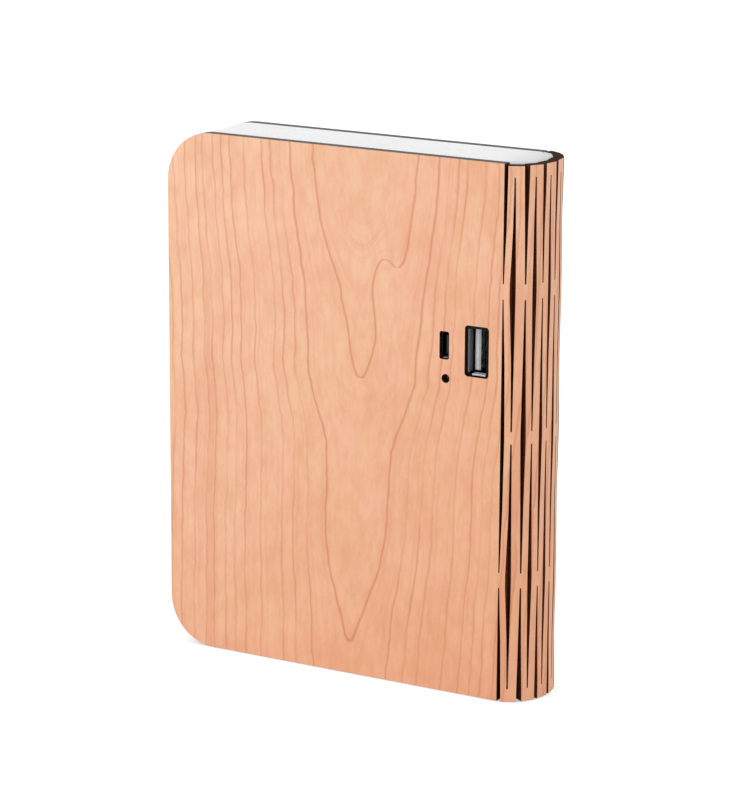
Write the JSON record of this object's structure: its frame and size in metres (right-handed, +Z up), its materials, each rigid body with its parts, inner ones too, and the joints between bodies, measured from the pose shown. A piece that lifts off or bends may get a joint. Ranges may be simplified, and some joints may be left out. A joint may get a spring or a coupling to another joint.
{
  "type": "folding book lamp",
  "caption": "Wooden book-shaped lamp: two covers on a lattice spine open through a full turn and fan out a pleated paper shade around a rechargeable light.",
  "frame": {"origin": "bottom centre of the closed book, on the surface it stands on", "axes": "+Z up along the book's height, +X from the fore-edge to the spine, +Y from the front cover to the back cover"},
  "size_m": [0.1162, 0.025, 0.15],
  "materials": {
    "wood": "light reddish wood with fine growth rings, satin, edges burnt dark by the laser",
    "paper": "white non-woven shade paper, matte",
    "magnet": "nickel-plated magnet",
    "case": "white moulded plastic, fine texture",
    "screw": "zinc-plated steel",
    "circuit_board": "green lacquered board",
    "socket_shell": "nickel-plated steel, dull",
    "contact": "gilt spring contacts",
    "tongue": "pale grey moulded plastic",
    "black_plastic": "black moulded plastic",
    "lamp_lens": "smoked lens, unlit",
    "cell": "silver pouch foil",
    "light": "pale yellow phosphor lens",
    "capacitor": "tan ceramic"
  },
  "bodies": {
    "front_cover": {"front_board": "wood", "front_lining": "paper", "front_magnets": "magnet", "case_tray": "case", "case_lid": "case", "lid_screws": "screw", "circuit_board": "circuit_board", "usb_a_shell": "socket_shell", "usb_a_tongue": "tongue", "usb_a_contacts": "contact", "micro_usb_shell": "socket_shell", "micro_usb_tongue": "black_plastic", "indicator_lamp": "lamp_lens", "battery_cell": "cell", "cell_tabs": "screw", "light_board": "circuit_board", "lights": "light", "light_plug": "black_plastic", "magnetic_switch": "black_plastic", "charge_chip": "black_plastic", "coil": "black_plastic", "capacitors": "capacitor"},
    "back_cover": {"back_board": "wood", "back_lining": "paper", "back_magnets": "magnet", "switch_magnet": "magnet"},
    "strip_01": {"spine_strip_01": "wood"},
    "strip_02": {"spine_strip_02": "wood"},
    "strip_03": {"spine_strip_03": "wood"},
    "strip_04": {"spine_strip_04": "wood"},
    "strip_05": {"spine_strip_05": "wood"},
    "strip_06": {"spine_strip_06": "wood"},
    "strip_07": {"spine_strip_07": "wood"},
    "strip_08": {"spine_strip_08": "wood"},
    "strip_09": {"spine_strip_09": "wood"},
    "strip_10": {"spine_strip_10": "wood"},
    "strip_11": {"spine_strip_11": "wood"},
    "strip_12": {"spine_strip_12": "wood"},
    "leaf_01": {"shade_leaf_01": "paper"},
    "leaf_02": {"shade_leaf_02": "paper"},
    "leaf_03": {"shade_leaf_03": "paper"},
    "leaf_04": {"shade_leaf_04": "paper"},
    "leaf_05": {"shade_leaf_05": "paper"},
    "leaf_06": {"shade_leaf_06": "paper"},
    "leaf_07": {"shade_leaf_07": "paper"},
    "leaf_08": {"shade_leaf_08": "paper"},
    "leaf_09": {"shade_leaf_09": "paper"},
    "leaf_10": {"shade_leaf_10": "paper"},
    "leaf_11": {"shade_leaf_11": "paper"},
    "leaf_12": {"shade_leaf_12": "paper"}
  },
  "joints": [
    {"name": "shade_fold_01", "type": "hinge", "parent": "front_cover", "child": "leaf_01", "pos_m": [0.05461, -0.0101, 0], "axis": [0, 0, 1], "range_deg": [-27.7, 0]},
    {"name": "shade_fold_02", "type": "hinge", "parent": "leaf_01", "child": "leaf_02", "pos_m": [0.05461, -0.0092, 0], "axis": [0, 0, 1], "range_deg": [-27.7, 0]},
    {"name": "shade_fold_03", "type": "hinge", "parent": "leaf_02", "child": "leaf_03", "pos_m": [0.05461, -0.00787, 0], "axis": [0, 0, 1], "range_deg": [-27.7, 0]},
    {"name": "shade_fold_04", "type": "hinge", "parent": "leaf_03", "child": "leaf_04", "pos_m": [0.05461, -0.0062, 0], "axis": [0, 0, 1], "range_deg": [-27.7, 0]},
    {"name": "shade_fold_05", "type": "hinge", "parent": "leaf_04", "child": "leaf_05", "pos_m": [0.05461, -0.00428, 0], "axis": [0, 0, 1], "range_deg": [-27.7, 0]},
    {"name": "shade_fold_06", "type": "hinge", "parent": "leaf_05", "child": "leaf_06", "pos_m": [0.05461, -0.00218, 0], "axis": [0, 0, 1], "range_deg": [-27.7, 0]},
    {"name": "shade_fold_07", "type": "hinge", "parent": "leaf_06", "child": "leaf_07", "pos_m": [0.05461, 0, 0], "axis": [0, 0, 1], "range_deg": [-27.7, 0]},
    {"name": "shade_fold_08", "type": "hinge", "parent": "leaf_07", "child": "leaf_08", "pos_m": [0.05461, 0.00218, 0], "axis": [0, 0, 1], "range_deg": [-27.7, 0]},
    {"name": "shade_fold_09", "type": "hinge", "parent": "leaf_08", "child": "leaf_09", "pos_m": [0.05461, 0.00428, 0], "axis": [0, 0, 1], "range_deg": [-27.7, 0]},
    {"name": "shade_fold_10", "type": "hinge", "parent": "leaf_09", "child": "leaf_10", "pos_m": [0.05461, 0.0062, 0], "axis": [0, 0, 1], "range_deg": [-27.7, 0]},
    {"name": "shade_fold_11", "type": "hinge", "parent": "leaf_10", "child": "leaf_11", "pos_m": [0.05461, 0.00787, 0], "axis": [0, 0, 1], "range_deg": [-27.7, 0]},
    {"name": "shade_fold_12", "type": "hinge", "parent": "leaf_11", "child": "leaf_12", "pos_m": [0.05461, 0.0092, 0], "axis": [0, 0, 1], "range_deg": [-27.7, 0]},
    {"name": "cover_opening", "type": "hinge", "parent": "leaf_12", "child": "back_cover", "pos_m": [0.05461, 0.0101, 0], "axis": [0, 0, 1], "range_deg": [-27.69, 0]},
    {"name": "spine_fold_01", "type": "hinge", "parent": "front_cover", "child": "strip_01", "pos_m": [0.04913, -0.011, 0], "axis": [0, 0, 1], "range_deg": [-2.01, 0]},
    {"name": "spine_fold_02", "type": "hinge", "parent": "strip_01", "child": "strip_02", "pos_m": [0.05139, -0.01018, 0], "axis": [0, 0, 1], "range_deg": [-13.01, 0]},
    {"name": "spine_fold_03", "type": "hinge", "parent": "strip_02", "child": "strip_03", "pos_m": [0.0533, -0.00874, 0], "axis": [0, 0, 1], "range_deg": [-14.01, 0]},
    {"name": "spine_fold_04", "type": "hinge", "parent": "strip_03", "child": "strip_04", "pos_m": [0.05481, -0.00688, 0], "axis": [0, 0, 1], "range_deg": [-44.51, 0]},
    {"name": "spine_fold_05", "type": "hinge", "parent": "strip_04", "child": "strip_05", "pos_m": [0.05584, -0.00471, 0], "axis": [0, 0, 1], "range_deg": [-43.51, 0]},
    {"name": "spine_fold_06", "type": "hinge", "parent": "strip_05", "child": "strip_06", "pos_m": [0.05642, -0.00239, 0], "axis": [0, 0, 1], "range_deg": [-42.01, 0]},
    {"name": "spine_fold_07", "type": "hinge", "parent": "strip_06", "child": "strip_07", "pos_m": [0.05661, 0, 0], "axis": [0, 0, 1], "range_deg": [-42.01, 0]},
    {"name": "spine_fold_08", "type": "hinge", "parent": "strip_07", "child": "strip_08", "pos_m": [0.05642, 0.00239, 0], "axis": [0, 0, 1], "range_deg": [-42.01, 0]},
    {"name": "spine_fold_09", "type": "hinge", "parent": "strip_08", "child": "strip_09", "pos_m": [0.05584, 0.00471, 0], "axis": [0, 0, 1], "range_deg": [-43.51, 0]},
    {"name": "spine_fold_10", "type": "hinge", "parent": "strip_09", "child": "strip_10", "pos_m": [0.05481, 0.00688, 0], "axis": [0, 0, 1], "range_deg": [-44.51, 0]},
    {"name": "spine_fold_11", "type": "hinge", "parent": "strip_10", "child": "strip_11", "pos_m": [0.0533, 0.00874, 0], "axis": [0, 0, 1], "range_deg": [-14.01, 0]},
    {"name": "spine_fold_12", "type": "hinge", "parent": "strip_11", "child": "strip_12", "pos_m": [0.05139, 0.01018, 0], "axis": [0, 0, 1], "range_deg": [-13.01, 0]}
  ],
  "couplings": [
    {"joint": "shade_fold_01", "follows": "cover_opening", "ratio": 1},
    {"joint": "shade_fold_02", "follows": "cover_opening", "ratio": 1},
    {"joint": "shade_fold_03", "follows": "cover_opening", "ratio": 1},
    {"joint": "shade_fold_04", "follows": "cover_opening", "ratio": 1},
    {"joint": "shade_fold_05", "follows": "cover_opening", "ratio": 1},
    {"joint": "shade_fold_06", "follows": "cover_opening", "ratio": 1},
    {"joint": "shade_fold_07", "follows": "cover_opening", "ratio": 1},
    {"joint": "shade_fold_08", "follows": "cover_opening", "ratio": 1},
    {"joint": "shade_fold_09", "follows": "cover_opening", "ratio": 1},
    {"joint": "shade_fold_10", "follows": "cover_opening", "ratio": 1},
    {"joint": "shade_fold_11", "follows": "cover_opening", "ratio": 1},
    {"joint": "shade_fold_12", "follows": "cover_opening", "ratio": 1},
    {"joint": "spine_fold_01", "follows": "cover_opening", "ratio": 0.072222},
    {"joint": "spine_fold_02", "follows": "cover_opening", "ratio": 0.46944},
    {"joint": "spine_fold_03", "follows": "cover_opening", "ratio": 0.50556},
    {"joint": "spine_fold_04", "follows": "cover_opening", "ratio": 1.6069},
    {"joint": "spine_fold_05", "follows": "cover_opening", "ratio": 1.5708},
    {"joint": "spine_fold_06", "follows": "cover_opening", "ratio": 1.5167},
    {"joint": "spine_fold_07", "follows": "cover_opening", "ratio": 1.5167},
    {"joint": "spine_fold_08", "follows": "cover_opening", "ratio": 1.5167},
    {"joint": "spine_fold_09", "follows": "cover_opening", "ratio": 1.5708},
    {"joint": "spine_fold_10", "follows": "cover_opening", "ratio": 1.6069},
    {"joint": "spine_fold_11", "follows": "cover_opening", "ratio": 0.50556},
    {"joint": "spine_fold_12", "follows": "cover_opening", "ratio": 0.46944}
  ]
}
